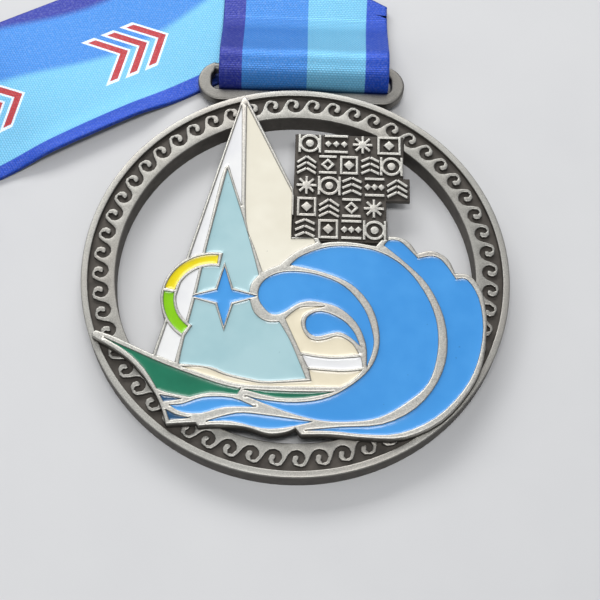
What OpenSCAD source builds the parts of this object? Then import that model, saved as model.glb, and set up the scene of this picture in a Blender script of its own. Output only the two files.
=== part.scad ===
// Sports finisher medal with its neck ribbon.
// The origin is the centre of the ring on its back face, +Y points to the hanger and +Z out of the front.
// The medal lies on its back with the ribbon on the same surface.

/* [Ring] */
// Outside diameter of the ring
ring_d = 85; // [70:1:100]
// Diameter of the opening inside the ring
opening_d = 71.6; // [60:0.2:84]
// Thickness of the ring at its rim
ring_t = 5; // [4.6:0.1:6]
// Width of the raised rim
rim_w = 1.35; // [0.8:0.05:2]
// Depth of the sunk floor below the rim
floor_drop = 0.9; // [0.4:0.05:1.2]
// Depth of the scroll relief below the rim
scroll_drop = 0.2; // [0.1:0.05:0.35]
// Number of running scrolls around the ring
scroll_n = 56; // [40:1:60]

/* [Hanger] */
// Overall width of the hanger loop
hanger_w = 44; // [42:0.5:48]
// Width of its slot
slot_w = 38.4; // [37.4:0.1:40]
// Distance from the ring centre to the axis of the top bar
bar_y = 48.8; // [48.6:0.1:50]
// Height of the bar axis above the back face
bar_z = 2.9; // [2.8:0.1:3.2]
// Diameter of the round top bar
bar_d = 2.3; // [2:0.1:2.4]

/* [Picture] */
// Turn of the picture about the ring centre
art_turn = 2; // [0:0.5:4]
// Thickness of the picture plate from the sunk floor to its ridges
plate_t = 2.5; // [2.2:0.1:3]
// Depth of the enamel cells below the ridges
cell_depth = 1.1; // [0.8:0.1:1.4]
// Distance of the enamel surface below the ridges
enamel_drop = 0.3; // [0.1:0.05:0.5]

/* [Ornament] */
// Distance between rows of ornament tiles
row_pitch = 4.97; // [4.9:0.01:5.1]
// Height of one ornament tile
tile_h = 4.4; // [4:0.1:4.6]
// Line width of the raised ornaments
line_w = 0.62; // [0.5:0.02:0.7]

/* [Ribbon] */
// Width of the ribbon
ribbon_w = 36; // [34:0.5:36.5]
// Thickness of the doubled ribbon
double_t = 1; // [0.8:0.1:1.1]
// Sideways place of the ribbon in the slot
ribbon_x = 0.5; // [-0.5:0.1:0.6]
// Angle by which the folded band runs down to the left
band_angle = 30; // [28:1:34]
// Length of the band along its lower edge, from the diagonal fold to the stack
band_len = 98; // [90:1:110]
// Length of one panel of the folded stack
panel_len = 46; // [40:1:60]
// Number of doubled panels above the lowest one
panel_n = 7; // [4:1:9]

/* [Hidden] */
$fn = 96;
ring_r = ring_d / 2;
opening_r = opening_d / 2;
floor_z = ring_t - floor_drop;
scroll_z = ring_t - scroll_drop;
plate_z = floor_z + plate_t;
cell_z = plate_z - cell_depth;
enamel_z = plate_z - enamel_drop;
scroll_pitch = 360 / scroll_n;
scroll_phase = 5.8;
hanger_t = bar_d;
hanger_z = bar_z - hanger_t / 2;
// The hanger is an oblong loop: its lower bar runs into the ring
hanger_low = 40.2;
slot_low = 42.95;
slot_round = 1.6;
ribbon_gap = 0.1;
panel_z = floor_z + 1;
ornament_z = floor_z + 1.7;
tongue_t = 0.8;
strap_t = 0.45;
strap_gap = 0.08;
loop_r = 5.4;
stack_t = double_t * (panel_n + 1);
// Badge on the sail: centre, ring band radii and the star in the middle
badge_c = [-16.5, -6.6];
badge_r = [6.9, 10];
star_c = [-14.1, -6.2];
star_r = 6.3;
outline_w = 0.6;

enamel_blue = "#4ba0e4";

// ---------- curves ----------

// A point on the Catmull-Rom curve between b and c
function spline_point(a, b, c, d, t) =
    0.5 * (2 * b + (c - a) * t + (2 * a - 5 * b + 4 * c - d) * t * t
        + (3 * b - a - 3 * c + d) * t * t * t);

// One smooth run of an outline without its last point, which the next run starts with
function run(p, n = 3) = [
    for (i = [0 : len(p) - 2])
        let (a = p[max(i - 1, 0)], d = p[min(i + 2, len(p) - 1)])
        for (k = [0 : (len(p) == 2 ? 1 : n) - 1])
            spline_point(a, p[i], p[i + 1], d, k / n)
];

// A closed outline made of smooth runs that meet in corners
function outline(runs, n = 3) = [for (r = runs) each run(r, n)];

// Arc of radius r about c from angle a to angle b
function arc(c, r, a, b, n = 24) = [for (k = [0 : n]) c + r * [cos(a + (b - a) * k / n), sin(a + (b - a) * k / n)]];

// Flat outline of a band between two radii and two angles
function band(c, r0, r1, a, b) = concat(arc(c, r1, a, b), arc(c, r0, b, a));

// Four-pointed star of tip radius r and waist radius w
function star(c, r, w) = [for (k = [0 : 7]) c + (k % 2 == 0 ? r : w) * [cos(45 * k), sin(45 * k)]];

// Centre points of a strap offset sideways by d
function strap_side(p, d) = [
    for (i = [0 : len(p) - 1])
        let (u = p[min(i + 1, len(p) - 1)] - p[max(i - 1, 0)])
        p[i] + d * [-u[1], u[0]] / norm(u)
];

// ---------- outlines of the picture ----------

sail_shape = [
    [-11.0, 39.3], [-10.4, 39.9], [-9.8, 39.3], [5.1, 5.2], [8, 0], [4, -22], [-22, -24], [-27.6, -18.4]
];

hull_shape = outline([
    [[-38.7, -13.4], [-36.1, -14.3], [-33.5, -15.5], [-27.6, -18.4]],
    [[-27.6, -18.4], [-20, -15]],
    [[-20, -15], [0, -20]],
    [[0, -20], [4, -31]],
    [[4, -31], [-0.4, -33.4]],
    [[-0.4, -33.4], [-1.9, -34.1], [-4.2, -34.5], [-6.3, -34.3], [-10, -33.1], [-15.1, -32.7], [-18.6, -32.9]],
    [[-18.6, -32.9], [-19.1, -32.2]],
    [[-19.1, -32.2], [-24.6, -32.5]],
    [[-24.6, -32.5], [-25.4, -29.7], [-26.7, -26.6], [-29.8, -21.9], [-33.5, -18.3], [-39.2, -14.7]],
    [[-39.2, -14.7], [-39.4, -14.1], [-38.7, -13.4]]
]);

wave_shape = outline([
    [[-3.6, -0.6], [-2, 1], [0.4, 3], [4.9, 5.3], [10.2, 5.7], [15.9, 4.7]],
    [[15.9, 4.7], [17.4, 6.4], [19, 6.9], [21.2, 6.5], [22.8, 5.3], [24.1, 3.1]],
    [[24.1, 3.1], [27.1, 3.7], [30.1, 1.9], [31.4, -1.3]],
    [[31.4, -1.3], [34.2, -1.7], [36.3, -4.8], [36.9, -8.6], [36.9, -12.5], [35.6, -20.3],
     [32.6, -26.1], [27.1, -32], [20, -35.3], [13.2, -35.4], [6.1, -34.7], [0.6, -34.7]],
    [[0.6, -34.7], [-0.4, -33.4]],
    [[-0.4, -33.4], [-4, -28]],
    [[-4, -28], [-4, -12]],
    [[-4, -12], [-7.6, -9.6], [-8.6, -6.4], [-8.2, -3.6], [-6.5, -1.7], [-3.6, -0.6]]
]);

white_sail_shape = outline([
    [[-11, 37.4], [-10.9, 14]],
    [[-10.9, 14], [-12.7, 20.2], [-13.4, 22.8]],
    [[-13.4, 22.8], [-13.8, 23.4], [-14.3, 22.8]],
    [[-14.3, 22.8], [-15.2, 19.9], [-17.4, 8.7], [-18.4, 4], [-20, -4.7], [-23.4, -20]],
    [[-23.4, -20], [-26.9, -18.5]],
    [[-26.9, -18.5], [-11, 37.4]]
]);

cream_sail_shape = outline([
    [[-9.9, 37.8], [-10, 24], [-9.9, 10.4], [-8.2, 4.3], [-6.6, -0.9]],
    [[-6.6, -0.9], [-4.9, 0], [-3.3, 0.6]],
    [[-3.3, 0.6], [-2.3, 1.6], [0.1, 3.6], [3.9, 5.5]],
    [[3.9, 5.5], [3.5, 6.4]],
    [[3.5, 6.4], [-1, 6.4]],
    [[-1, 6.4], [-0.7, 17]],
    [[-0.7, 17], [-9.9, 37.8]]
]);

jib_shape = outline([
    [[-13.8, 22.3], [-13.1, 19.8], [-10.5, 10.8], [-8.8, 4.3], [-7.4, -1.6]],
    [[-7.4, -1.6], [-8.9, -3.6], [-9.2, -6.4], [-8.2, -9.8], [-5.9, -11.6], [-3.4, -11.7]],
    [[-3.4, -11.7], [-1.6, -15], [0, -19], [1.6, -23.4]],
    [[1.6, -23.4], [-5.4, -23.9], [-9, -23.4], [-13.7, -22.2], [-16.4, -21], [-22.5, -20.3]],
    [[-22.5, -20.3], [-21.6, -15.1], [-19.3, -4.6], [-17.7, 4.3], [-15.5, 14.6], [-13.8, 22.3]]
]);

hull_green_shape = outline([
    [[-36.9, -15], [-30.8, -17.9], [-24.3, -20.9], [-15.1, -24.4], [-10.8, -25.5]],
    [[-10.8, -25.5], [-11.4, -26.6]],
    [[-11.4, -26.6], [-16.4, -26.2], [-20.3, -27.1]],
    [[-20.3, -27.1], [-24.5, -26.2], [-26.5, -25.4]],
    [[-26.5, -25.4], [-29, -21.4], [-32.7, -17.7], [-36.9, -15]]
]);

hull_stripe_shape = outline([
    [[-10, -25.6], [-1.9, -26.1], [6.8, -26.2]],
    [[6.8, -26.2], [1.3, -27.3], [-4.2, -27.2], [-10, -25.6]]
]);

deck_shape = outline([
    [[2.3, -21.6], [5.5, -21.9], [9, -22.1], [12.3, -21.8]],
    [[12.3, -21.8], [11.2, -23.1], [9.7, -24.3], [8.2, -25.1]],
    [[8.2, -25.1], [-0.3, -25], [-10, -24.6], [-15, -23.4], [-21.7, -21]],
    [[-21.7, -21], [-18.8, -20.95], [-16.3, -21.6], [-13.5, -22.8], [-9, -23.95], [-5.4, -24.4], [2.7, -23.9]],
    [[2.7, -23.9], [2.3, -21.6]]
]);

cabin_cream_shape = outline([
    [[-2.2, -11], [-0.3, -9.3], [1.4, -8.5], [5.4, -8.45]],
    [[5.4, -8.45], [3, -9.1], [1.4, -10.2], [0.8, -12.1], [1.8, -14.6], [3.4, -15.6], [5.6, -15.4],
     [7.6, -14.7], [9.2, -15.2], [10.7, -16.4], [11.8, -18.4]],
    [[11.8, -18.4], [7.5, -18.9], [4, -18.6], [0.7, -18]],
    [[0.7, -18], [-2.2, -11]]
]);

cabin_white_shape = outline([
    [[1, -18.6], [4, -19.15], [7.5, -19.4], [12.2, -19.1]],
    [[12.2, -19.1], [12.5, -21.2]],
    [[12.5, -21.2], [9, -21.6], [5.5, -21.4], [2.1, -21.1]],
    [[2.1, -21.1], [1, -18.6]]
]);

main_wave_shape = outline([
    [[-1.1, 0.6], [1.3, 2.65], [6.8, 4.6], [13.2, 4.4], [18.1, 2.65], [22.3, -0.9], [25.6, -6.4], [27.2, -12.2],
     [26.9, -18.6], [24.8, -24.5], [20.6, -28.3], [15.2, -31.3], [9.4, -32.1], [3.5, -31.7], [-2.9, -29.8],
     [-9.7, -26.9]],
    [[-9.7, -26.9], [-6.8, -27.7], [-0.3, -28.3], [6.1, -27.2], [11.9, -23.6], [15, -19.6], [16, -14.5],
     [14.7, -8.6], [11, -3.8], [5.5, -1.1], [-1.1, 0.6]]
], 4);

wave_crest_shape = outline([
    [[17.6, 4.9], [18.4, 5.9], [19.7, 6.1], [21.3, 5.4], [24.2, 2]],
    [[24.2, 2], [27.1, 2.5], [29.2, 1.3], [31.5, -2.6]],
    [[31.5, -2.6], [33.7, -2.7], [35.7, -6.7], [36.1, -13.2], [34.5, -20.3], [31.3, -26.1], [25.8, -31.4],
     [19, -34.4], [12.6, -34.6], [6.1, -33.9], [1.5, -33.8]],
    [[1.5, -33.8], [8.1, -33.2], [15.8, -32.7], [22.3, -29.5], [26.8, -24.1], [28.9, -18], [28.7, -10.9],
     [26.1, -4.1], [22.3, 0.5], [17.6, 4.9]]
]);

upper_curl_shape = outline([
    [[13.3, -21], [14.5, -17.7], [14.7, -14.5], [13.2, -9], [9.4, -4.1], [3.9, -1.5], [-1.6, -0.9], [-5.2, -2],
     [-7.1, -4.1], [-7.3, -6.9], [-5.5, -9.6], [-3.9, -10.1], [-2.3, -9.5], [-0.6, -8.3], [1, -7.5], [3.5, -7.3],
     [8.1, -8.6], [11.6, -11.9], [13.3, -16.4], [13.3, -21]]
], 4);

small_curl_shape = outline([
    [[12.1, -16.7], [11, -13.8], [8.7, -11.2], [4.8, -9.5], [2.1, -10.7], [1.9, -13.2], [3.6, -14.7],
     [6.5, -14.1], [8.4, -13.9], [10.4, -15], [12.1, -16.7]]
]);

bow_left_shape = outline([
    [[-24, -28.7], [-21.6, -28.5], [-17.7, -27.2], [-12.4, -27.3], [-8.2, -29.1]],
    [[-8.2, -29.1], [-13.7, -29.1], [-18.2, -30.3], [-21.9, -30], [-24, -28.7]]
]);

bow_middle_shape = outline([
    [[-17, -31.9], [-11.6, -30.4], [-6.8, -30.7], [2.7, -32.1]],
    [[2.7, -32.1], [-2.3, -33.2], [-6.8, -33.3], [-12.4, -31.9], [-17, -31.9]]
]);

keel_shape = outline([
    [[-24.7, -29.6], [-22.9, -30.6], [-20.3, -31.3]],
    [[-20.3, -31.3], [-24, -31.6]],
    [[-24, -31.6], [-24.7, -29.6]]
]);

stern_shape = outline([
    [[-25.9, -26.7], [-23.6, -27.1], [-21.9, -27.5]],
    [[-21.9, -27.5], [-25.2, -28]],
    [[-25.2, -28], [-25.9, -26.7]]
]);

// ---------- running scroll ----------

// One scroll as angle in pitches and radius, from its foot over the back and round into the eye
scroll_shape = [
    [0, 38], [0.13, 39.2], [0.28, 40.2], [0.46, 40.42], [0.76, 40], [0.86, 39.2], [0.8, 38.3],
    [0.68, 38.08], [0.54, 38.3], [0.56, 38.8], [0.62, 39.2], [0.55, 39.78], [0.4, 39.7], [0.28, 38.8],
    [0.31, 38], [0.42, 37.45], [0.62, 37.12], [0.85, 37.35]
];

scroll_line = [
    for (k = [0 : scroll_n - 1]) each [
        for (p = scroll_shape)
            let (a = scroll_phase - (k + p[0]) * scroll_pitch)
            p[1] * [cos(a), sin(a)]
    ]
];

// ---------- helpers ----------

// A flat outline of the picture raised from z0 to z1
module raise(z0, z1) {
    rotate([0, 0, art_turn])
        translate([0, 0, z0])
            linear_extrude(z1 - z0) children();
}

module badge_outline() {
    polygon(band(badge_c, badge_r[0], badge_r[1], 78, 238));
}

module star_outline() {
    polygon(star(star_c, star_r + 2 * outline_w, 1.9 + outline_w));
}

// The picture's outer shape raised from z0 to z1
module plate_block(z0, z1) {
    raise(z0, z1) polygon(sail_shape);
    raise(z0, z1) polygon(hull_shape);
    raise(z0, z1) polygon(wave_shape);
    raise(z0, z1) badge_outline();
}

// Each enamel cell as a flat shape, which its pocket and its filling share
module white_sail_cell() {
    difference() {
        polygon(white_sail_shape);
        badge_outline();
    }
}

module jib_cell() {
    difference() {
        polygon(jib_shape);
        badge_outline();
        star_outline();
    }
}

module yellow_cell() {
    polygon(band(badge_c, badge_r[0] + outline_w, badge_r[1] - outline_w, 83, 166));
}

module green_cell() {
    polygon(band(badge_c, badge_r[0] + outline_w, badge_r[1] - outline_w, 171, 233));
}

module star_cell() {
    polygon(star(star_c, star_r, 1.9));
}

module all_cells() {
    white_sail_cell();
    polygon(cream_sail_shape);
    jib_cell();
    yellow_cell();
    green_cell();
    star_cell();
    polygon(hull_green_shape);
    polygon(hull_stripe_shape);
    polygon(deck_shape);
    polygon(cabin_cream_shape);
    polygon(cabin_white_shape);
    polygon(main_wave_shape);
    polygon(wave_crest_shape);
    polygon(upper_curl_shape);
    polygon(small_curl_shape);
    polygon(bow_left_shape);
    polygon(bow_middle_shape);
    polygon(keel_shape);
    polygon(stern_shape);
}

// Enamel that fills a cell up to just below the ridges
module enamel() {
    raise(cell_z, enamel_z) children();
}

// ---------- ornament ----------

// Rows from the top: left end, right end and number of tiles
ornament_rows = [[-0.6, 21.3, 4], [-0.6, 21.2, 5], [-0.65, 22.5, 5], [-0.5, 17.7, 4], [-0.8, 17.9, 4]];
row_top_y = 29.1;

function row_y(i) = row_top_y - i * row_pitch;

module panel_outline(margin = 0.3) {
    for (i = [0 : len(ornament_rows) - 1]) {
        row = ornament_rows[i];
        low = i == len(ornament_rows) - 1 ? margin : row_pitch - tile_h;
        translate([row[0] - margin, row_y(i) - tile_h / 2 - low])
            square([row[1] - row[0] + 2 * margin, tile_h + margin + low]);
    }
}

// A straight raised line between two points
module stroke(a, b) {
    v = b - a;
    translate(a)
        rotate(atan2(v[1], v[0]))
            translate([0, -line_w / 2]) square([norm(v), line_w]);
}

module ring_line(r) {
    difference() {
        circle(r);
        circle(r - line_w);
    }
}

module frame_line(w, h) {
    difference() {
        square([w, h], center = true);
        square([w - 2 * line_w, h - 2 * line_w], center = true);
    }
}

// Tile kinds: plain patterns of rings, lozenges, chevrons, steps and rays
module tile(kind, w) {
    h = tile_h;
    if (kind == 0) {
        ring_line(h / 2);
        circle(h / 5);
        for (s = [-1, 1]) stroke([s * h / 2 - s * 0.1, -h / 2], [s * h / 2 - s * 0.1, h / 2]);
    }
    if (kind == 1) {
        for (k = [0 : 2])
            for (s = [-1, 1])
                stroke([0, h / 2 - 0.4 - k * 1.4], [s * w / 2.2, h / 2 - 1.9 - k * 1.25]);
    }
    if (kind == 2) {
        frame_line(w - 0.5, h);
        rotate(45) square(h / 2.6, center = true);
    }
    if (kind == 3) {
        for (a = [0 : 45 : 179]) rotate(a) square([h - 0.2, line_w], center = true);
        circle(0.9);
    }
    if (kind == 4) {
        for (k = [-1, 0, 1]) translate([k * w / 3.3, 0]) rotate(45) square(1.15, center = true);
        for (s = [-1, 1]) translate([0, s * (h - line_w) / 2]) square([w - 0.5, line_w], center = true);
    }
    if (kind == 5) {
        for (k = [-1 : 1])
            for (s = [-1, 1])
                stroke([-s * w / 2.3, k * 1.45 - 0.45], [0, k * 1.45 + 0.55]);
    }
    if (kind == 6) {
        rotate(45) frame_line(h / 2.05, h / 2.05);
        for (s = [-1, 1]) translate([0, s * (h - line_w) / 2]) square([w - 0.6, line_w], center = true);
    }
}

tile_kinds = [[0, 4, 3, 2], [1, 6, 2, 5, 0], [3, 0, 5, 4, 1], [2, 1, 6, 3], [5, 2, 4, 0]];

module ornaments() {
    for (i = [0 : len(ornament_rows) - 1]) {
        row = ornament_rows[i];
        w = (row[1] - row[0]) / row[2];
        for (k = [0 : row[2] - 1])
            translate([row[0] + (k + 0.5) * w, row_y(i)]) tile(tile_kinds[i][k], w);
    }
}

// ---------- ribbon ----------

band_dir = [-cos(band_angle), -sin(band_angle)];
band_up = [-sin(band_angle), cos(band_angle)];
right_x = ribbon_x + ribbon_w / 2;
left_x = ribbon_x - ribbon_w / 2;
// The lower edge of the band passes just behind the left end of the hanger
band_edge = [-21.6, 44.3];
fold_right = [right_x, band_edge[1] + (right_x - band_edge[0]) * tan(band_angle)];
fold_left = [left_x, fold_right[1] + ribbon_w * tan(band_angle)];
band_end = fold_right + band_len * band_dir;
back_y = 63;
under_z = double_t + strap_gap + strap_t / 2;

// Side view of the strap round the bar as [y, z]: under the bar, up through the slot, over and back
loop_line = concat(
    [[back_y, under_z], [52, under_z], [47, under_z], [45.2, under_z], [44.2, 1.5], [43.65, 1.9]],
    arc([bar_y, bar_z], loop_r, 187, 60, 20),
    run([[52.6, 6.9], [56, 5], [59.5, 3], [back_y - 0.6, under_z + strap_t + strap_gap]], 3),
    [[back_y, under_z + strap_t + strap_gap]]
);

// ---------- parts ----------

module ring() {
    color("#b9b6ae")
    difference() {
        union() {
            difference() {
                cylinder(h = ring_t, r = ring_r, $fn = 180);
                translate([0, 0, floor_z]) cylinder(h = ring_t, r = ring_r - rim_w, $fn = 180);
            }
            linear_extrude(scroll_z) polygon(scroll_line);
        }
        translate([0, 0, -1]) cylinder(h = ring_t + 2, r = opening_r, $fn = 180);
        plate_block(floor_z, plate_z + 1);
        translate([0, 0, floor_z]) linear_extrude(ring_t) panel_outline();
    }
}

// The oblong hanger loop, joined to the back half of the ring. Its upper bar is round where the ribbon passes.
module hanger() {
    top_y = bar_y + bar_d / 2;
    end_r = (top_y - hanger_low) / 2;
    bar_half = right_x + ribbon_gap;
    color("#b9b6ae")
    difference() {
        union() {
            translate([0, 0, hanger_z]) linear_extrude(hanger_t)
                difference() {
                    oblong(hanger_w, hanger_low, top_y, end_r);
                    oblong(slot_w, slot_low, bar_y - bar_d / 2, slot_round);
                    translate([-bar_half, bar_y - bar_d / 2 - 0.5]) square([2 * bar_half, bar_d + 1]);
                }
            translate([-bar_half - 0.3, bar_y, bar_z]) rotate([0, 90, 0])
                cylinder(h = 2 * bar_half + 0.6, d = bar_d);
        }
        translate([0, 0, -1]) cylinder(h = ring_t + 2, r = ring_r, $fn = 180);
    }
}

// A rectangle centred on x = 0 between two heights, with round corners
module oblong(width, low, high, r) {
    translate([-width / 2, low + r]) square([width, max(high - low - 2 * r, 0.001)]);
    translate([r - width / 2, low]) square([width - 2 * r, high - low]);
    for (s = [-1, 1], y = [low + r, high - r]) translate([s * (width / 2 - r), y]) circle(r);
}

module picture_plate() {
    color("#cfccc4")
    difference() {
        plate_block(floor_z, plate_z);
        raise(cell_z, plate_z + 1) all_cells();
        translate([0, 0, floor_z - 1]) linear_extrude(plate_t + 2) panel_outline();
    }
}

module ornament_panel() {
    color("#8b8780")
    union() {
        translate([0, 0, floor_z]) linear_extrude(panel_z - floor_z) panel_outline();
        translate([0, 0, panel_z - 0.1]) linear_extrude(ornament_z - panel_z + 0.1) ornaments();
        // tongue under the sail, which carries the panel
        translate([-4, 8, floor_z - tongue_t]) cube([9, 8, tongue_t]);
    }
}

module white_sail() { color("#e8e8e8") enamel() white_sail_cell(); }
module cream_sail() { color("#e8e4d4") enamel() polygon(cream_sail_shape); }
module blue_jib() { color("#aacbcf") enamel() jib_cell(); }
module badge_yellow() { color("#ebdc14") enamel() yellow_cell(); }
module badge_green() { color("#8ccd0f") enamel() green_cell(); }
module badge_star() { color(enamel_blue) enamel() star_cell(); }
module hull_green() { color("#207a5c") enamel() polygon(hull_green_shape); }
module hull_stripe_green() { color("#207a5c") enamel() polygon(hull_stripe_shape); }
module deck_cream() { color("#ece2c8") enamel() polygon(deck_shape); }
module cabin_cream() { color("#ece2c8") enamel() polygon(cabin_cream_shape); }
module cabin_white() { color("#e8e8e8") enamel() polygon(cabin_white_shape); }
module main_wave() { color(enamel_blue) enamel() polygon(main_wave_shape); }
module wave_crest() { color(enamel_blue) enamel() polygon(wave_crest_shape); }
module upper_curl() { color(enamel_blue) enamel() polygon(upper_curl_shape); }
module small_curl() { color(enamel_blue) enamel() polygon(small_curl_shape); }
module bow_wave_left() { color(enamel_blue) enamel() polygon(bow_left_shape); }
module bow_wave_middle() { color(enamel_blue) enamel() polygon(bow_middle_shape); }
module keel_navy() { color("#23557d") enamel() polygon(keel_shape); }
module stern_navy() { color("#23557d") enamel() polygon(stern_shape); }

// The single strap that passes through the slot and over the bar
module ribbon_loop() {
    color("#3c8ce6")
    translate([left_x, 0, 0]) rotate([90, 0, 90])
        linear_extrude(ribbon_w)
            polygon(concat(strap_side(loop_line, strap_t / 2), reverse(strap_side(loop_line, -strap_t / 2))));
}

function reverse(p) = [for (i = [len(p) - 1 : -1 : 0]) p[i]];

// Both straps together behind the hanger, up to the diagonal fold
module ribbon_back() {
    color("#3c8ce6")
    translate([0, 0, double_t + strap_gap]) linear_extrude(double_t - 0.02)
        polygon([[left_x, back_y], [right_x, back_y], fold_right, fold_left]);
}

// The doubled ribbon folded over and running down to the left on the table
module ribbon_band() {
    color("#5fb4f0")
    linear_extrude(double_t)
        polygon([fold_left, fold_right, band_end, band_end + ribbon_w * band_up]);
}

// The rest of the doubled ribbon, folded back and forth
module ribbon_stack() {
    far = band_end + panel_len * band_dir;
    color("#3c8ce6")
    linear_extrude(stack_t)
        polygon([band_end, band_end + ribbon_w * band_up, far + ribbon_w * band_up, far]);
}

// The sewn seam that closes the ribbon at the neck, on top of the stack
module ribbon_seam() {
    seam_l = 9;
    inset = 2;
    a = band_end + (panel_len - seam_l - 8) * band_dir + inset * band_up;
    color("#1e3c8c")
    translate([0, 0, stack_t]) linear_extrude(strap_t)
        polygon([a, a + (ribbon_w - 2 * inset) * band_up, a + (ribbon_w - 2 * inset) * band_up + seam_l * band_dir,
                 a + seam_l * band_dir]);
}

ring();
hanger();
picture_plate();
ornament_panel();
white_sail();
cream_sail();
blue_jib();
badge_yellow();
badge_green();
badge_star();
hull_green();
hull_stripe_green();
deck_cream();
cabin_cream();
cabin_white();
main_wave();
wave_crest();
upper_curl();
small_curl();
bow_wave_left();
bow_wave_middle();
keel_navy();
stern_navy();
ribbon_loop();
ribbon_back();
ribbon_band();
ribbon_stack();
ribbon_seam();
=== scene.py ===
import math

import bmesh
import bpy
import numpy as np
from mathutils import Matrix, Vector
from mathutils.geometry import delaunay_2d_cdt
from mathutils.kdtree import KDTree


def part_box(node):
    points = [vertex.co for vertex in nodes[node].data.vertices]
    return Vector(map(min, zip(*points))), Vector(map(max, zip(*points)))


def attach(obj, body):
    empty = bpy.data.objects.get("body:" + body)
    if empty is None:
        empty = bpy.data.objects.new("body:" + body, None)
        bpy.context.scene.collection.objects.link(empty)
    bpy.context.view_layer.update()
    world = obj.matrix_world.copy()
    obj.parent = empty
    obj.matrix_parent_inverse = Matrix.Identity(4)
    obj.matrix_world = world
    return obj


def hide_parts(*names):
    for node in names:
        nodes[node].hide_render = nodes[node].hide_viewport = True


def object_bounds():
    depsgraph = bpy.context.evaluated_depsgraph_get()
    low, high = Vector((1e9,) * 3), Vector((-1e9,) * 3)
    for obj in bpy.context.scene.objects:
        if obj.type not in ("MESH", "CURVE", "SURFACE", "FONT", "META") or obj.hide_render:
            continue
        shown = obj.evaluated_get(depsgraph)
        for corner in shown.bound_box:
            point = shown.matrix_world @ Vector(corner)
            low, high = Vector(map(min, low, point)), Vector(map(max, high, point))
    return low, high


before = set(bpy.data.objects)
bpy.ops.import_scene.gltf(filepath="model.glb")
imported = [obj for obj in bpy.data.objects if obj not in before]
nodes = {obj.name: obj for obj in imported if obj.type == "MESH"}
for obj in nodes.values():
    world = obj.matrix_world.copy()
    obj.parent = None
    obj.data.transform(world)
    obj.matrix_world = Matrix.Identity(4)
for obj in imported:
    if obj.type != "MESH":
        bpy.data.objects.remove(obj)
cad_low, cad_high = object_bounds()
MM = 0.001
rng = np.random.default_rng(7)


def add_object(name, data):
    obj = bpy.data.objects.new(name, data)
    bpy.context.scene.collection.objects.link(obj)
    return obj


# ---------- camera ----------

def make_camera():
    """Looks down on the medal's face from the side of its lower edge, about 65 degrees above it."""
    tilt, lean, turn = -0.4285, 0.0249, math.radians(2)
    ring_r = 42.5 * MM
    shift = Vector((-0.0186, 0.137, -6.0665)) * ring_r
    view = Matrix.Rotation(lean, 3, "Y") @ Matrix.Rotation(tilt, 3, "X")
    spin = Matrix.Rotation(turn, 3, "Z")
    camera = add_object("camera", bpy.data.cameras.new("camera"))
    camera.data.lens = 78
    camera.data.sensor_width = 36
    camera.data.clip_start = 0.01
    place = spin @ (view.transposed() @ -shift) + Vector((0, 0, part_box("ring")[1].z))
    camera.matrix_world = Matrix.Translation(place) @ (spin @ view.transposed()).to_4x4()
    bpy.context.scene.camera = camera


make_camera()


# ---------- ribbon ----------
# All lengths here are in millimetres. They repeat the ribbon's dimensions in part.scad.

RIBBON_W = 36
HALF_W = RIBBON_W / 2
RIBBON_X = 0.5
STRAP_T = 0.45
SELVEDGE_T = 0.24
LEG_OFFSET = 0.265
BAR_Y, BAR_Z, LOOP_R = 48.8, 2.9, 5.4
BACK_Y = 63
BACK_Z = 1.57
CREASE_R = 0.53
BAND_Z = 0.51
BAND_ANGLE = math.radians(30)
BAND_DIR = np.array([-math.cos(BAND_ANGLE), -math.sin(BAND_ANGLE)])
BAND_UP = np.array([-math.sin(BAND_ANGLE), math.cos(BAND_ANGLE)])
BAND_EDGE = np.array([-21.6, 44.3])
BAND_LEN = 98
PANEL_LEN = 46
PANEL_N = 7
PANEL_PITCH = 1.03
FOLD_RIGHT = np.array([
    RIBBON_X + HALF_W,
    BAND_EDGE[1] + (RIBBON_X + HALF_W - BAND_EDGE[0]) * math.tan(BAND_ANGLE),
])
CREASE_NORMAL = np.array([math.sin(BAND_ANGLE), math.cos(BAND_ANGLE)])
CREASE_START = FOLD_RIGHT[1] - BACK_Y


def smooth(x, low, high):
    """0 below low, 1 above high and smooth between them."""
    t = np.clip((np.asarray(x, float) - low) / (high - low), 0, 1)
    return t * t * (3 - 2 * t)


def stack_profile():
    """The folded end as rows of (run past the crease, t, z, normal t, normal z, sideways shift)."""
    rows = []
    run, t, z = BAND_LEN - 4.0, BAND_LEN - 4.0, BAND_Z
    shift = 0.0
    heading = 1
    fold_r = PANEL_PITCH / 2
    for level in range(PANEL_N + 1):
        near = BAND_LEN + 0.8 + rng.uniform(0, 1.6)
        far = BAND_LEN + PANEL_LEN - 0.8 - rng.uniform(0, 1.6)
        goal = far if heading > 0 else near
        next_shift = rng.uniform(-0.7, 0.7) if level else 0.0
        steps = int(abs(goal - t) / 2.2)
        start, first_shift = t, shift
        for k in range(steps + 1):
            part = k / steps
            here = start + (goal - start) * part
            side = first_shift + (next_shift - first_shift) * smooth(part, 0, 1)
            rows.append((run + abs(here - start), here, z, 0.0, -heading, side))
        run += abs(goal - start)
        t, shift = goal, float(next_shift)
        if level == PANEL_N:
            break
        for k in range(1, 8):
            turn = math.pi * k / 8
            rows.append((
                run + fold_r * turn,
                t + heading * fold_r * math.sin(turn),
                z + fold_r * (1 - math.cos(turn)),
                math.sin(turn),
                -heading * math.cos(turn),
                shift,
            ))
        run += fold_r * math.pi
        z += PANEL_PITCH
        heading = -heading
    return np.array(rows)


STACK = stack_profile()
STACK_FROM = STACK[0, 0] + CREASE_START


def cross_places():
    """Places across the strap, closer together at its woven edges."""
    inner = np.linspace(-HALF_W + 0.6, HALF_W - 0.6, 38)
    return np.concatenate([[-HALF_W, -HALF_W + 0.15], inner, [HALF_W - 0.15, HALF_W]])


CROSS = cross_places()


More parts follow.
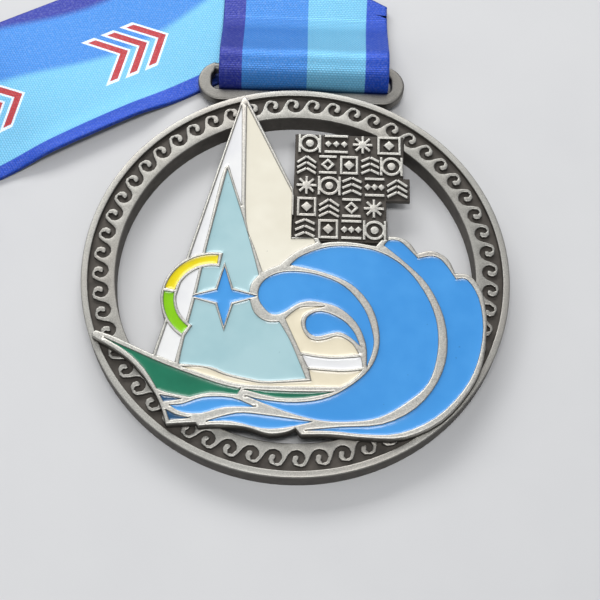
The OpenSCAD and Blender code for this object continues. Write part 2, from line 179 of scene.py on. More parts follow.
def band_lift(t, cross):
    """How far the free band stands above the table: its lower edge curls up and it waves gently."""
    free = smooth(t, 50, 62) * (1 - smooth(t, 80, 93))
    edge = smooth(cross, HALF_W - 8, HALF_W) ** 2
    wave = 0.35 * (1 - np.cos((t - 50) / 9.0 + cross / 26.0))
    return free * (1.5 * edge + wave) + 0.25 * smooth(t, 2, 12) * (1 - smooth(t, 22, 34)) * (1 - edge)


def doubled_row(q):
    """Middle surface and normals of the doubled ribbon across one row, q mm beyond the loop."""
    lean = smooth(q, 0, 13) * (1 - smooth(q, 16.5, 38))
    run = q - lean * CROSS * math.tan(BAND_ANGLE)
    past = run - CREASE_START
    if q > STACK_FROM:
        col = [np.interp(past, STACK[:, 0], STACK[:, k]) for k in range(1, 6)]
        t, z, normal_t, normal_z, side = col
        up = HALF_W - CROSS + side
        flat = FOLD_RIGHT + t[:, None] * BAND_DIR + up[:, None] * BAND_UP
        size = np.hypot(normal_t, normal_z)
        normals = np.c_[(normal_t / size)[:, None] * BAND_DIR, normal_z / size]
        return np.c_[flat, z], normals, run
    flat = np.c_[RIBBON_X + CROSS, BACK_Y + run]
    beyond = (flat - FOLD_RIGHT) @ CREASE_NORMAL
    arc_start = -math.pi * CREASE_R / 2
    turn = np.clip((beyond - arc_start) / CREASE_R, 0, math.pi)
    kept = np.where(beyond < arc_start, beyond, arc_start + CREASE_R * np.sin(turn))
    kept = np.where(turn >= math.pi, -beyond, kept)
    place = flat + (kept - beyond)[:, None] * CREASE_NORMAL
    middle_z = (BACK_Z + BAND_Z) / 2
    height = middle_z + CREASE_R * np.cos(turn)
    t = (place - FOLD_RIGHT) @ BAND_DIR
    height = height + np.where(turn >= math.pi, band_lift(t, CROSS), 0)
    normals = np.c_[np.sin(turn)[:, None] * CREASE_NORMAL, np.cos(turn)]
    return np.c_[place, height], normals, run


def spline(points, steps):
    """Points on a Catmull-Rom curve through the given ones."""
    p = np.array(points, float)
    p = np.vstack([2 * p[0] - p[1], p, 2 * p[-1] - p[-2]])
    out = []
    for i in range(1, len(p) - 2):
        for k in range(steps):
            s = k / steps
            out.append(0.5 * (
                2 * p[i] + (p[i + 1] - p[i - 1]) * s
                + (2 * p[i - 1] - 5 * p[i] + 4 * p[i + 1] - p[i + 2]) * s ** 2
                + (3 * p[i] - p[i - 1] - 3 * p[i + 1] + p[i + 2]) * s ** 3
            ))
    return np.array(out + [p[-2]])


def loop_side():
    """Centre line of the single strap from the upper leg over the bar and back under it, as (y, z)."""
    upper_z, under_z = BACK_Z + LEG_OFFSET, BACK_Z - LEG_OFFSET
    over = spline([(BACK_Y, upper_z), (59.5, 3), (56, 5), (52.6, 6.9)], 8)
    angles = np.radians(np.linspace(60, 187, 44))
    arc = np.c_[BAR_Y + LOOP_R * np.cos(angles), BAR_Z + LOOP_R * np.sin(angles)]
    flat_run = [(y, under_z) for y in (45.2, 47, 52, BACK_Y)]
    under = spline([(43.65, 1.9), (44.2, 1.5)] + flat_run, 5)
    return np.vstack([over[:-1], arc, under])


def strap_rows():
    """All rows of the closed strap: centre points, outward normals and run along the strap."""
    centres, normals, runs = [], [], []

    def keep(centre, normal, run):
        centres.append(centre)
        normals.append(normal)
        runs.append(run)

    side = loop_side()
    step = np.gradient(side, axis=0)
    step /= np.linalg.norm(step, axis=1)[:, None]
    out = np.c_[step[:, 1], -step[:, 0]]
    lengths = np.r_[0, np.cumsum(np.linalg.norm(np.diff(side, axis=0), axis=1))]
    half = lengths[-1] / 2
    puff = 0.10 * np.cos(CROSS / 2.9) + 0.05 * np.cos(CROSS / 1.3 + 1)
    for (y, z), (ny, nz), length in zip(side, out, lengths):
        over_bar = smooth(z, 3.5, 6.5)
        dent = over_bar * (puff - 0.15)
        centre = np.c_[RIBBON_X + CROSS, y + ny * dent, z + nz * dent]
        keep(centre, np.tile([0, ny, nz], (len(CROSS), 1)), half - length + 0 * CROSS)
    folds = STACK[:, 0] + CREASE_START
    route = np.concatenate([
        np.linspace(1, 13, 12),
        np.linspace(13.6, 16.2, 15),
        np.linspace(17, 97.6, 76),
        folds[folds > STACK_FROM + 0.4],
    ])
    rows = [doubled_row(q) for q in route]
    for middle, normal, run in rows:
        keep(middle - LEG_OFFSET * normal, -normal, -half - run)
    middle, normal, run = rows[-1]
    along = rows[-1][0] - rows[-2][0]
    along /= np.linalg.norm(along, axis=1)[:, None]
    for k in range(1, 6):
        turn = math.pi * k / 6
        out_way = -math.cos(turn) * normal + math.sin(turn) * along
        keep(middle + LEG_OFFSET * out_way, out_way, -half - run - LEG_OFFSET * turn)
    for middle, normal, run in reversed(rows):
        keep(middle + LEG_OFFSET * normal, normal, half + run)
    return np.array(centres), np.array(normals), np.array(runs)


def make_strap():
    """The whole ribbon: one closed strap of woven satin, thick in the middle and thin at its edges."""
    centres, normals, runs = strap_rows()
    count, across = len(centres), len(CROSS)
    half_t = np.full(across, STRAP_T / 2)
    half_t[[0, -1]] = SELVEDGE_T / 2
    outer = centres + normals * half_t[None, :, None]
    inner = centres - normals * half_t[None, :, None]
    ring = np.concatenate([outer, inner[:, ::-1]], axis=1)
    side = 2 * across
    mesh = bpy.data.meshes.new("ribbon_strap")
    index = np.arange(count * side).reshape(count, side)
    nxt = np.roll(index, -1, axis=0)
    faces = np.stack([index, nxt, np.roll(nxt, -1, axis=1), np.roll(index, -1, axis=1)], axis=-1)
    mesh.from_pydata((ring.reshape(-1, 3) * MM).tolist(), [], faces.reshape(-1, 4).tolist())
    layer = mesh.uv_layers.new(name="strap")
    wide = np.concatenate([CROSS, CROSS[::-1]])
    long = np.concatenate([runs, runs[:, ::-1]], axis=1)
    steps = np.linalg.norm(np.diff(centres, axis=0, append=centres[:1]), axis=2)
    total = float(np.mean(steps.sum(axis=0)))
    uv = np.zeros((count, side, 4, 2))
    for corner, (row, col) in enumerate([(0, 0), (1, 0), (1, 1), (0, 1)]):
        uv[:, :, corner, 0] = np.roll(np.roll(long, -row, axis=0), -col, axis=1)
        uv[:, :, corner, 1] = np.roll(wide, -col)[None, :]
    neck = uv[..., 0].max(axis=2) - uv[..., 0].min(axis=2) > total / 2
    uv[..., 0] = np.where(neck[..., None] & (uv[..., 0] > 0), uv[..., 0] - total, uv[..., 0])
    layer.data.foreach_set("uv", uv.reshape(-1))
    mesh.polygons.foreach_set("use_smooth", [True] * len(mesh.polygons))
    mesh.update()
    strap = add_object("ribbon_strap", mesh)
    tidy = bmesh.new()
    tidy.from_mesh(mesh)
    bmesh.ops.recalc_face_normals(tidy, faces=tidy.faces)
    tidy.to_mesh(mesh)
    tidy.free()
    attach(strap, "ribbon")
    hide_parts("ribbon_loop", "ribbon_back", "ribbon_band", "ribbon_stack")
    return strap, total


strap, strap_length = make_strap()
LOOP_HALF = float(np.linalg.norm(np.diff(loop_side(), axis=0), axis=1).sum()) / 2


# ---------- shader building ----------

def srgb(red, green, blue):
    """A colour given as 0 to 255 display values, in linear light."""
    def linear(c):
        c /= 255
        return c / 12.92 if c <= 0.04045 else ((c + 0.055) / 1.055) ** 2.4
    return (linear(red), linear(green), linear(blue), 1)


class Graph:
    """A material under construction. A value is a number, a colour or another node's output."""

    def __init__(self, name):
        self.material = bpy.data.materials.new(name)
        self.material.use_nodes = True
        self.tree = self.material.node_tree
        self.shader = self.tree.nodes["Principled BSDF"]

    def put(self, socket, value):
        if isinstance(value, bpy.types.NodeSocket):
            self.tree.links.new(value, socket)
        else:
            socket.default_value = value

    def node(self, kind, values=(), **settings):
        made = self.tree.nodes.new(kind)
        for key, value in settings.items():
            setattr(made, key, value)
        for key, value in dict(values).items():
            self.put(made.inputs[key], value)
        return made

    def math(self, operation, a, b=0.0, c=0.0):
        return self.node("ShaderNodeMath", {0: a, 1: b, 2: c}, operation=operation).outputs[0]

    def ramp(self, value, low, high, to_low=0.0, to_high=1.0):
        """to_low below low, to_high above high and smooth between them."""
        span = {"From Min": low, "From Max": high, "To Min": to_low, "To Max": to_high}
        made = self.node("ShaderNodeMapRange", {"Value": value, **span}, interpolation_type="SMOOTHSTEP")
        return made.outputs[0]

    def mix(self, factor, a, b, blend="MIX"):
        made = self.node("ShaderNodeMix", {0: factor, 6: a, 7: b}, data_type="RGBA", blend_type=blend)
        return made.outputs[2]

    def noise(self, vector, scale, detail=3.0, rough=0.55):
        values = {"Vector": vector, "Scale": scale, "Detail": detail, "Roughness": rough}
        return self.node("ShaderNodeTexNoise", values).outputs[0]

    def place(self):
        return self.node("ShaderNodeTexCoord").outputs["Object"]

    def split(self, vector):
        return self.node("ShaderNodeSeparateXYZ", {0: vector}).outputs

    def openness(self, distance, samples, only_local):
        """1 in the open and less in corners, within a distance in mm."""
        values = {"Distance": distance * MM}
        made = self.node("ShaderNodeAmbientOcclusion", values, samples=samples, only_local=only_local)
        return made.outputs["AO"]

    def bump(self, height, distance, strength=1.0, below=None):
        values = {"Height": height, "Distance": distance, "Strength": strength}
        if below is not None:
            values["Normal"] = below
        return self.node("ShaderNodeBump", values).outputs[0]

    def finish(self, **values):
        for key, value in values.items():
            self.put(self.shader.inputs[key.replace("_", " ")], value)
        return self.material


# ---------- materials ----------

SILVER_PALE, SILVER_GREY, SILVER_WARM = (214, 212, 204), (186, 184, 177), (198, 188, 178)
PATINA_DARK, PATINA_LIGHT = (38, 35, 32), (98, 92, 85)


def antique_silver(name, dark_z, bright_z, wear=1.0, side=0.08, tone=1.0, rim_z=None):
    """Plated zinc casting: patina below dark_z and in the corners, rubbed bright above bright_z, in mm.

    wear scales the bumps, side is how bright low walls stay under the painted shade that stands in
    for their dark reflections, and tone is the brightness of the plating. Levels below rim_z are
    duller than the rim."""
    g = Graph(name)
    place = g.place()
    z = g.split(place)[2]
    up = g.split(g.node("ShaderNodeTexCoord").outputs["Normal"])[2]
    cloud = g.noise(place, 160, 4)
    grain = g.noise(place, 4200, 3, 0.7)
    speck = g.noise(place, 900, 2)
    uneven_z = g.math("ADD", z, g.math("MULTIPLY", g.math("SUBTRACT", cloud, 0.5), 0.25 * MM))
    height = g.ramp(uneven_z, dark_z * MM, bright_z * MM)
    facing = g.ramp(up, 0.25, 0.8)
    back = g.ramp(up, -0.9, -0.5, 1.0, 0.0)
    top = g.math("MULTIPLY", height, facing)
    # painted shade: walls are darker the lower they stand, in place of the dark reflections they give
    wall_painted_shade = g.ramp(z, dark_z * MM, bright_z * MM, side, 0.8)
    walls = g.math("MULTIPLY", g.math("SUBTRACT", 1.0, facing), wall_painted_shade)
    clean_and_lit = g.math("MAXIMUM", g.math("MAXIMUM", top, walls), g.math("MULTIPLY", back, 0.72))
    open_part = g.ramp(g.openness(1.1, 8, True), 0.35, 0.85)
    shut = g.ramp(z, dark_z * MM, bright_z * MM, 0.25, 0.85)
    clean_and_lit = g.math("MULTIPLY", clean_and_lit, g.math("MAXIMUM", open_part, shut))
    clean_and_lit = g.math("MULTIPLY", clean_and_lit, g.ramp(speck, 0.2, 0.55, 0.86, 1.0))
    if rim_z is not None:
        below_rim = g.ramp(z, (rim_z - 0.14) * MM, (rim_z - 0.04) * MM, 0.8, 1.0)
        clean_and_lit = g.math("MULTIPLY", clean_and_lit, g.math("ADD", below_rim, g.math("MULTIPLY", cloud, 0.06)))
    pale, grey, warm = ([tone * c for c in colour] for colour in (SILVER_PALE, SILVER_GREY, SILVER_WARM))
    bright = g.mix(cloud, srgb(*pale), srgb(*grey))
    blush = g.ramp(g.noise(place, 70, 2), 0.45, 0.75, 0.0, 0.35)
    bright = g.mix(blush, bright, srgb(*warm))
    bright = g.mix(g.ramp(grain, 0.34, 0.66, 0.42, 0.0), bright, srgb(*[0.62 * c for c in grey]))
    dark = g.mix(g.noise(place, 420, 3), srgb(*PATINA_DARK), srgb(*PATINA_LIGHT))
    colour = g.mix(clean_and_lit, dark, bright)
    spread = g.math("MULTIPLY", g.math("SUBTRACT", grain, 0.5), 0.18)
    rough = g.math("ADD", g.ramp(clean_and_lit, 0, 1, 0.6, 0.44), spread)
    coarse = g.bump(g.noise(place, 1100, 4, 0.65), 0.022 * MM, 0.22 * wear)
    fine = g.bump(grain, 0.03 * MM, 0.7 * wear, coarse)
    metallic = g.ramp(clean_and_lit, 0.05, 0.6, 0.55, 1.0)
    return g.finish(Base_Color=colour, Metallic=metallic, Roughness=rough, Normal=fine)


def enamel_material(name, colour, shade, edge=0.42):
    """Soft enamel: a glossy fill with faint clouds, pinholes, painted shade along its cell walls and a
    gently uneven surface.

    edge is how strongly the painted shade darkens it along the walls of its cell."""
    g = Graph(name)
    place = g.place()
    cloud = g.noise(place, 90, 3)
    fine = g.noise(place, 900, 2)
    tint = g.mix(g.ramp(cloud, 0.35, 0.7), srgb(*colour), srgb(*shade))
    # painted shade: the enamel darkens next to the cell walls, where their shadow falls
    wall_shade = g.ramp(g.openness(0.5, 6, False), 0.3, 0.95, edge, 0.0)
    tint = g.mix(wall_shade, tint, srgb(*[0.4 * c for c in shade]))
    pits = g.ramp(g.noise(place, 1300, 0), 0.10, 0.16)
    tint = g.mix(g.math("SUBTRACT", 1.0, pits), tint, srgb(*[0.9 * c for c in shade]))
    waves = g.bump(g.noise(place, 240, 2), 0.05 * MM, 0.35)
    skin = g.bump(g.math("ADD", fine, pits), 0.004 * MM, 0.35, waves)
    roughness = g.math("ADD", 0.2, g.math("MULTIPLY", fine, 0.06))
    return g.finish(Base_Color=tint, Roughness=roughness, Normal=skin,
                    Coat_Weight=0.25, Coat_Roughness=0.14, Specular_IOR_Level=0.45)


def satin_material():
    """Printed satin webbing. The strap's own run and cross distances, in mm, carry print and weave."""
    g = Graph("ribbon_satin")
    run, cross, _ = g.split(g.node("ShaderNodeUVMap", uv_map="strap").outputs[0])

    # Printed stripes, straight at the loop and wavy with soft edges along the free band
    band = g.math("SUBTRACT", g.math("ABSOLUTE", run), LOOP_HALF + CREASE_START)
    loose = g.ramp(band, 4, 22)
    swell = g.math("MULTIPLY", g.math("SINE", g.math("MULTIPLY", band, 0.085)), 3.4)
    long_swell = g.math("MULTIPLY", g.math("SINE", g.math("MULTIPLY", band, 0.031)), 3.0)
    swell = g.math("ADD", swell, long_swell)
    across = g.math("ADD", cross, g.math("MULTIPLY", swell, loose))
    soft = g.math("ADD", 0.12, g.math("MULTIPLY", loose, 2.2))

    def edge(at, value):
        return g.ramp(g.math("DIVIDE", g.math("SUBTRACT", value, at), soft), -0.5, 0.5)

    navy, royal = srgb(30, 44, 150), srgb(0, 68, 186)
    middle, cyan = srgb(54, 132, 212), srgb(112, 188, 224)
    colour = g.mix(edge(-13.2, across), navy, middle)
    colour = g.mix(edge(0.6, across), colour, cyan)
    wobble = g.math("MULTIPLY", g.math("SINE", g.math("MULTIPLY", band, 0.06)), 0.6)
    lower = g.math("SUBTRACT", g.math("SUBTRACT", cross, wobble), g.ramp(band, 22, 95, 0.0, 2.2))
    colour = g.mix(g.ramp(lower, 13.4, 13.7), colour, royal)

    # Groups of three chevrons with pale outlines, repeated along the free part of the ribbon
    repeat, bar_gap, slope = 34.0, 4.6, 0.9
    off_middle = g.math("ABSOLUTE", g.math("SUBTRACT", cross, 1.5))
    place = g.math("SUBTRACT", g.math("MODULO", g.math("ADD", band, 400.0), repeat), 10.0)
    slant = g.math("ABSOLUTE", g.math("SUBTRACT", place, g.math("MULTIPLY", off_middle, slope)))
    outer_bar = g.math("ABSOLUTE", g.math("SUBTRACT", slant, bar_gap))
    bars = g.math("MINIMUM", slant, outer_bar)
    printed = g.ramp(band, 34, 34.4)
    pale_zone = g.math("MULTIPLY", g.ramp(off_middle, 6.3, 6.5, 1, 0), printed)
    red_zone = g.math("MULTIPLY", g.ramp(off_middle, 5.6, 5.8, 1, 0), printed)
    pale_line = g.math("MULTIPLY", g.ramp(bars, 1.45, 1.65, 1, 0), pale_zone)
    red_bar = g.math("MULTIPLY", g.ramp(bars, 0.85, 1.0, 1, 0), red_zone)
    colour = g.mix(pale_line, colour, srgb(226, 238, 250))
    colour = g.mix(red_bar, colour, srgb(178, 38, 34))

    # Satin floats: short raised threads, each row half a step beside the next
    pitch, float_len, yarn_w = 0.5, 0.66, 0.17
    row = g.math("FLOOR", g.math("DIVIDE", run, pitch))
    in_row = g.math("FRACT", g.math("DIVIDE", run, pitch))
    offset = g.math("MULTIPLY", g.math("MODULO", row, 2.0), 0.5)
    in_float = g.math("FRACT", g.math("ADD", g.math("DIVIDE", cross, float_len), offset))
    crown = g.math("MULTIPLY", g.math("SINE", g.math("MULTIPLY", in_row, math.pi)),
                   g.math("SINE", g.math("MULTIPLY", in_float, math.pi)))
    crown = g.math("POWER", crown, 0.6)
    yarn = g.math("SINE", g.math("MULTIPLY", cross, 2 * math.pi / yarn_w))
    height = g.math("ADD", crown, g.math("MULTIPLY", yarn, 0.12))
    # painted shade: the hollows between the floats are darkened towards deep navy
    colour = g.mix(g.ramp(crown, 0.0, 0.8, 0.34, 0.0), colour, (0.004, 0.02, 0.12, 1))
    glint = g.noise(g.node("ShaderNodeCombineXYZ", {0: run, 1: cross}).outputs[0], 1.6, 3)
    colour = g.mix(g.ramp(glint, 0.4, 0.75, 0.0, 0.05), colour, (1, 1, 1, 1))
    # painted shade: the satin darkens towards navy black where other parts crowd close to it
    tucked_shade = g.ramp(g.openness(5, 8, False), 0.12, 0.8, 0.88, 0.0)
    colour = g.mix(tucked_shade, colour, (0.003, 0.008, 0.05, 1))
    normal = g.bump(height, 0.035 * MM, 1.0)
    rough = g.ramp(crown, 0, 1, 0.5, 0.36)
    return g.finish(Base_Color=colour, Roughness=rough, Normal=normal, Metallic=0.34,
                    Specular_IOR_Level=0.5)


strap.data.materials.append(satin_material())


# ---------- seam at the neck ----------

def band_point(t, up, z):
    flat = FOLD_RIGHT + t * BAND_DIR + up * BAND_UP
    return Vector((flat[0], flat[1], z)) * MM


SEAM_FROM, SEAM_TO = BAND_LEN + 28, BAND_LEN + 39
FLAP_RUN = 210.3  # puts the overlap between two groups of chevrons


def make_seam():
    """The overlapping strap end on top of the folded panels, and the stitches that hold it."""
    top = BAND_Z + PANEL_N * PANEL_PITCH + LEG_OFFSET + STRAP_T / 2
    near, far = SEAM_FROM, SEAM_TO
    steps, across = 14, len(CROSS)
    rows = []
    for k in range(steps):
        t = near + (far - near) * k / (steps - 1)
        lift = 0.06 + 0.10 * math.sin(math.pi * k / (steps - 1))
        end = min(k, steps - 1 - k)
        thick = STRAP_T * (0.55 if end == 0 else 1)
        upper_z = top + lift + thick
        thin = np.where(np.abs(CROSS) == HALF_W, 0.08, 0.0)
        rows.append([band_point(t, HALF_W - c, upper_z - less) for c, less in zip(CROSS, thin)])
        rows.append([band_point(t, HALF_W - c, top + 0.02) for c in CROSS])
    mesh = bmesh.new()
    upper = [[mesh.verts.new(p) for p in rows[2 * k]] for k in range(steps)]
    lower = [[mesh.verts.new(p) for p in rows[2 * k + 1]] for k in range(steps)]
    for k in range(steps - 1):
        for j in range(across - 1):
            mesh.faces.new([upper[k][j], upper[k][j + 1], upper[k + 1][j + 1], upper[k + 1][j]])
            mesh.faces.new([lower[k][j], lower[k + 1][j], lower[k + 1][j + 1], lower[k][j + 1]])
        for j in (0, across - 1):
            mesh.faces.new([upper[k][j], lower[k][j], lower[k + 1][j], upper[k + 1][j]])
    for k in (0, steps - 1):
        for j in range(across - 1):
            mesh.faces.new([upper[k][j], lower[k][j], lower[k][j + 1], upper[k][j + 1]])
    bmesh.ops.recalc_face_normals(mesh, faces=mesh.faces)
    layer = mesh.loops.layers.uv.new("strap")
    for face in mesh.faces:
        for loop in face.loops:
            flat = np.array([loop.vert.co.x, loop.vert.co.y]) / MM - FOLD_RIGHT
            run = LOOP_HALF + CREASE_START + flat @ BAND_DIR + FLAP_RUN
            loop[layer].uv = (run, HALF_W - flat @ BAND_UP)
        face.smooth = True
    data = bpy.data.meshes.new("ribbon_end")
    mesh.to_mesh(data)
    mesh.free()
    flap = add_object("ribbon_end", data)
    flap.data.materials.append(strap.data.materials[0])
    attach(flap, "ribbon")

    stitches = bmesh.new()
    surface = top + 0.06 + STRAP_T
    for t in (near + 1.2, near + 3.2, far - 3.2, far - 1.2):
        crown = 0.10 * math.sin(math.pi * (t - near) / (far - near))
        for up in np.arange(1.6, RIBBON_W - 2.2, 2.3):
            add_stitch(stitches, t, up, t, up + 1.7, surface + crown)
    for up in (1.2, RIBBON_W - 1.2):
        for t in np.arange(near + 1.4, far - 2.6, 2.2):
            add_stitch(stitches, t, up, t + 1.6, up, surface + 0.08)
    data = bpy.data.meshes.new("seam_stitches")
    stitches.to_mesh(data)
    stitches.free()
    thread = add_object("seam_stitches", data)
    g = Graph("seam_thread")
    twist = g.noise(g.place(), 5200, 2)
    g.finish(Base_Color=g.mix(twist, srgb(28, 52, 140), srgb(62, 96, 190)), Roughness=0.6,
             Normal=g.bump(twist, 0.03 * MM, 0.8), Sheen_Weight=0.3)
    data.materials.append(g.material)
    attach(thread, "ribbon")
    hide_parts("ribbon_seam")
    return flap, thread


def add_stitch(mesh, t0, up0, t1, up1, z):
    """One thread float, an arched capsule whose ends dive into the cloth."""
    a, b = band_point(t0, up0, z), band_point(t1, up1, z)
    way = (b - a).normalized()
    side = way.cross(Vector((0, 0, 1)))
    rings = []
    for k in range(7):
        part = k / 6
        arch = math.sin(math.pi * part)
        centre = a + (b - a) * part + Vector((0, 0, 1)) * (0.16 * arch - 0.12) * MM
        radius = (0.10 + 0.06 * arch) * MM
        rings.append([
            mesh.verts.new(centre + radius * (math.cos(w) * side + math.sin(w) * Vector((0, 0, 1))))
            for w in np.linspace(0, 2 * math.pi, 8, endpoint=False)
        ])
    for k in range(6):
        for j in range(8):
            nxt = (j + 1) % 8
            face = mesh.faces.new([rings[k][j], rings[k][nxt], rings[k + 1][nxt], rings[k + 1][j]])
            face.smooth = True
    mesh.faces.new(rings[0][::-1])
    mesh.faces.new(rings[-1])


flap, thread = make_seam()


# ---------- outlines and levels taken from the CAD nodes ---

EDGE_SPACING = 0.08  # between the points from which distances to an edge are measured
WELD = 0.002  # points closer than this are one
SHARP = math.radians(50)


def divide(a, b, step):
    """Points from a towards b, at most step apart, without b."""
    parts = max(1, math.ceil(np.linalg.norm(b - a) / step - 1e-6))
    return [a + (b - a) * k / parts for k in range(parts)]


def edge_loops(faces):
    """Outlines of a group of level faces as loops of (start, end), the group on their left from above."""
    ahead = {}
    for face in faces:
        for loop in face.loops:
            if any(f not in faces for f in loop.edge.link_faces):
                start, end = loop.vert, loop.link_loop_next.vert
                if face.normal.z < 0:
                    start, end = end, start
                ahead.setdefault(start, []).append(end)
    loops = []
    while ahead:
        here = next(iter(ahead))
        walk = []
        while here in ahead:
            end = ahead[here].pop()
            if not ahead[here]:
                del ahead[here]
            walk.append((np.array(here.co.xy) / MM, np.array(end.co.xy) / MM))
            here = end
        loops.append(walk)
    return loops


def flat_levels(node):
    """Every level surface of a node as (facing up, height, loops).

    A loop is a list of (start, end, far height), where far height is the level on the other side of
    that edge, or the height at which its wall ends. Two sheets that lie on each other inside the node
    are left out."""
    mesh = bmesh.new()
    mesh.from_mesh(nodes[node].data)
    bmesh.ops.remove_doubles(mesh, verts=mesh.verts, dist=WELD * MM)
    groups = {}  # faces are dict keys, as a set would give them in another order on each run
    for face in mesh.faces:
        if abs(face.normal.z) > 0.99:
            key = (face.normal.z > 0, round(face.verts[0].co.z / MM, 2))
            groups.setdefault(key, {})[face] = True
    levels = {key: edge_loops(faces) for key, faces in groups.items()}
    mesh.free()

    def middle(loop):
        return np.mean([a for a, _ in loop], axis=0)

    for up, height in list(levels):
        other = levels.get((not up, height))
        if up and other:
            spots = [middle(loop) for loop in other]
            apart = [
                loop for loop in levels[up, height]
                if all(np.linalg.norm(middle(loop) - spot) > 0.01 for spot in spots)
            ]
            if len(apart) < len(levels[up, height]):
                levels[up, height] = apart
                del levels[False, height]
    return [(up, height, add_far_heights(levels, up, height)) for up, height in sorted(levels)]


def add_far_heights(levels, up, height):
    """The loops of one level with, for each edge, the height just beyond it."""
    loops = levels[up, height]
    starts = np.array([a for loop in loops for a, _ in loop])
    ends = np.array([b for loop in loops for _, b in loop])
    way = (ends - starts) / np.linalg.norm(ends - starts, axis=1)[:, None]
    beyond = (starts + ends) / 2 + 0.02 * np.c_[way[:, 1], -way[:, 0]]
    within = (starts + ends) / 2 - 0.02 * np.c_[way[:, 1], -way[:, 0]]
    far = np.full(len(starts), np.nan)
    for (facing, level), other in sorted(levels.items()):
        if level == height:
            continue
        if facing == up:
            far[inside(beyond, other)] = level
        elif up and level < height:
            far[np.isnan(far) & inside(within, other)] = level
    out, k = [], 0
    for loop in loops:
        out.append([(a, b, far[k + i]) for i, (a, b) in enumerate(loop)])
        k += len(loop)
    return out


def inside(points, loops):
    """Even-odd test of many points against all loops."""
    hit = np.zeros(len(points), bool)
    x, y = points[:, 0], points[:, 1]
    for loop in loops:
        for (x0, y0), (x1, y1) in (edge[:2] for edge in loop):
            if y0 == y1:
                continue
            hit ^= ((y0 > y) != (y1 > y)) & (x < x0 + (y - y0) * (x1 - x0) / (y1 - y0))
    return hit


def distances(points, targets):
    """Distance of each point to the nearest target, far away when there is none."""
    if not len(targets) or not len(points):
        return np.full(len(points), 1e3)
    tree = KDTree(len(targets))
    for i, p in enumerate(targets):
        tree.insert((p[0], p[1], 0), i)
    tree.balance()
    return np.array([tree.find((p[0], p[1], 0))[2] for p in points])


def fill_level(loops, step, grid_step, rows):
    """Triangles over one level surface, as (points, triangles, points along its edges).

    rows are the distances from the edge at which extra points lie."""
    rim, near, edges = [], [], []
    for loop in loops:
        start = len(rim)
        for a, b, _ in loop:
            points = divide(a, b, step)
            way = (b - a) / np.linalg.norm(b - a)
            left = np.array([-way[1], way[0]])
            rim += points
            for offset in rows:
                near += [(p + left * offset, offset) for p in points]
                near.append((a + (b - a) * 0.5 / len(points) + left * offset, offset))
        count = len(rim) - start
        edges += [(start + k, start + (k + 1) % count) for k in range(count)]
    rim = np.array(rim)
    dense = np.array([
        q for loop in loops for a, b, _ in loop
        for q in divide(a, b, EDGE_SPACING) + divide(a, b, step)
    ])
    low, high = rim.min(axis=0), rim.max(axis=0)
    inner = np.array([
        (x + (j % 2) * grid_step / 2, y)
        for j, y in enumerate(np.arange(low[1], high[1], grid_step * 0.87))
        for x in np.arange(low[0], high[0], grid_step)
    ]).reshape(-1, 2)
    inner = inner[inside(inner, loops)]
    inner = inner[distances(inner, dense) > max(list(rows) + [0]) + 0.5 * grid_step]
    extra = np.array([p for p, _ in near]).reshape(-1, 2)
    if len(extra):
        wanted = np.array([offset for _, offset in near])
        good = inside(extra, loops) & (distances(extra, dense) > 0.88 * wanted)
        extra = extra[good]
    points = np.vstack([rim, extra, inner])
    made = delaunay_2d_cdt([Vector(p) for p in points], edges, [], 1, 1e-5)
    verts = np.array([tuple(v) for v in made[0]])
    tris = np.array([t for t in made[2] if len(t) == 3])
    tris = tris[inside(verts[tris].mean(axis=1), loops)]
    return verts, tris, dense


def edge_drop(gap, radius, depth):
    """Height lost near a rounded edge, at a distance of gap from it."""
    near = np.clip(1 - gap / radius, 0, 1)
    return depth * (1 - np.sqrt(1 - near ** 2))


def finish_mesh(mesh, name):
    """Turns a bmesh in mm into an object in metres, smooth but for its sharp edges."""
    bmesh.ops.remove_doubles(mesh, verts=mesh.verts, dist=WELD)
    loose = [v for v in mesh.verts if not v.link_faces]
    bmesh.ops.delete(mesh, geom=loose, context="VERTS")
    bmesh.ops.recalc_face_normals(mesh, faces=mesh.faces)
    for face in mesh.faces:
        face.smooth = True
    for edge in mesh.edges:
        if len(edge.link_faces) == 2 and edge.calc_face_angle(0) > SHARP:
            edge.smooth = False
    bmesh.ops.scale(mesh, vec=(MM, MM, MM), verts=mesh.verts)
    data = bpy.data.meshes.new(name)
    mesh.to_mesh(data)
    mesh.free()
    return add_object(name, data)


def add_level(mesh, verts, tris, heights, up):
    """The triangles of one level surface at the given heights, facing up or down."""
    made = [mesh.verts.new((x, y, h)) for (x, y), h in zip(verts, heights)]
    for a, b, c in tris:
        mesh.faces.new((made[a], made[b], made[c]) if up else (made[a], made[c], made[b]))


def add_wall(mesh, a, b, step, near, far):
    """An upright wall under or over the edge from a to b, between two heights."""
    line = divide(a, b, step) + [b]
    for p, q in zip(line, line[1:]):
        mesh.faces.new([mesh.verts.new(v) for v in [(*p, near), (*p, far), (*q, far), (*q, near)]])


# ---------- metal ----------

def cast(node, name, radius, depth, step, grid_step, material):
    """A casting with the outline and levels of a CAD node, its outer edges rounded and rubbed."""
    mesh = bmesh.new()
    rows = [radius * part for part in (0.1, 0.3, 0.6, 1.0)]
    for up, height, loops in flat_levels(node):
        falls = [
            q for loop in loops for a, b, far in loop
            if up and far < height for q in divide(a, b, EDGE_SPACING) + divide(a, b, step) + [b]
        ]
        verts, tris, _ = fill_level(loops, step, grid_step, rows if up else [])
        lost = edge_drop(distances(verts, falls), radius, depth)
        add_level(mesh, verts, tris, height - lost, up)
        for loop in loops:
            for a, b, far in loop:
                if up and far < height:
                    add_wall(mesh, a, b, step, height - depth, far)
                elif not up and far > height:
                    add_wall(mesh, a, b, step, height, far)
    piece = finish_mesh(mesh, name)
    piece.data.materials.append(material)
    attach(piece, "medal")
    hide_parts(node)


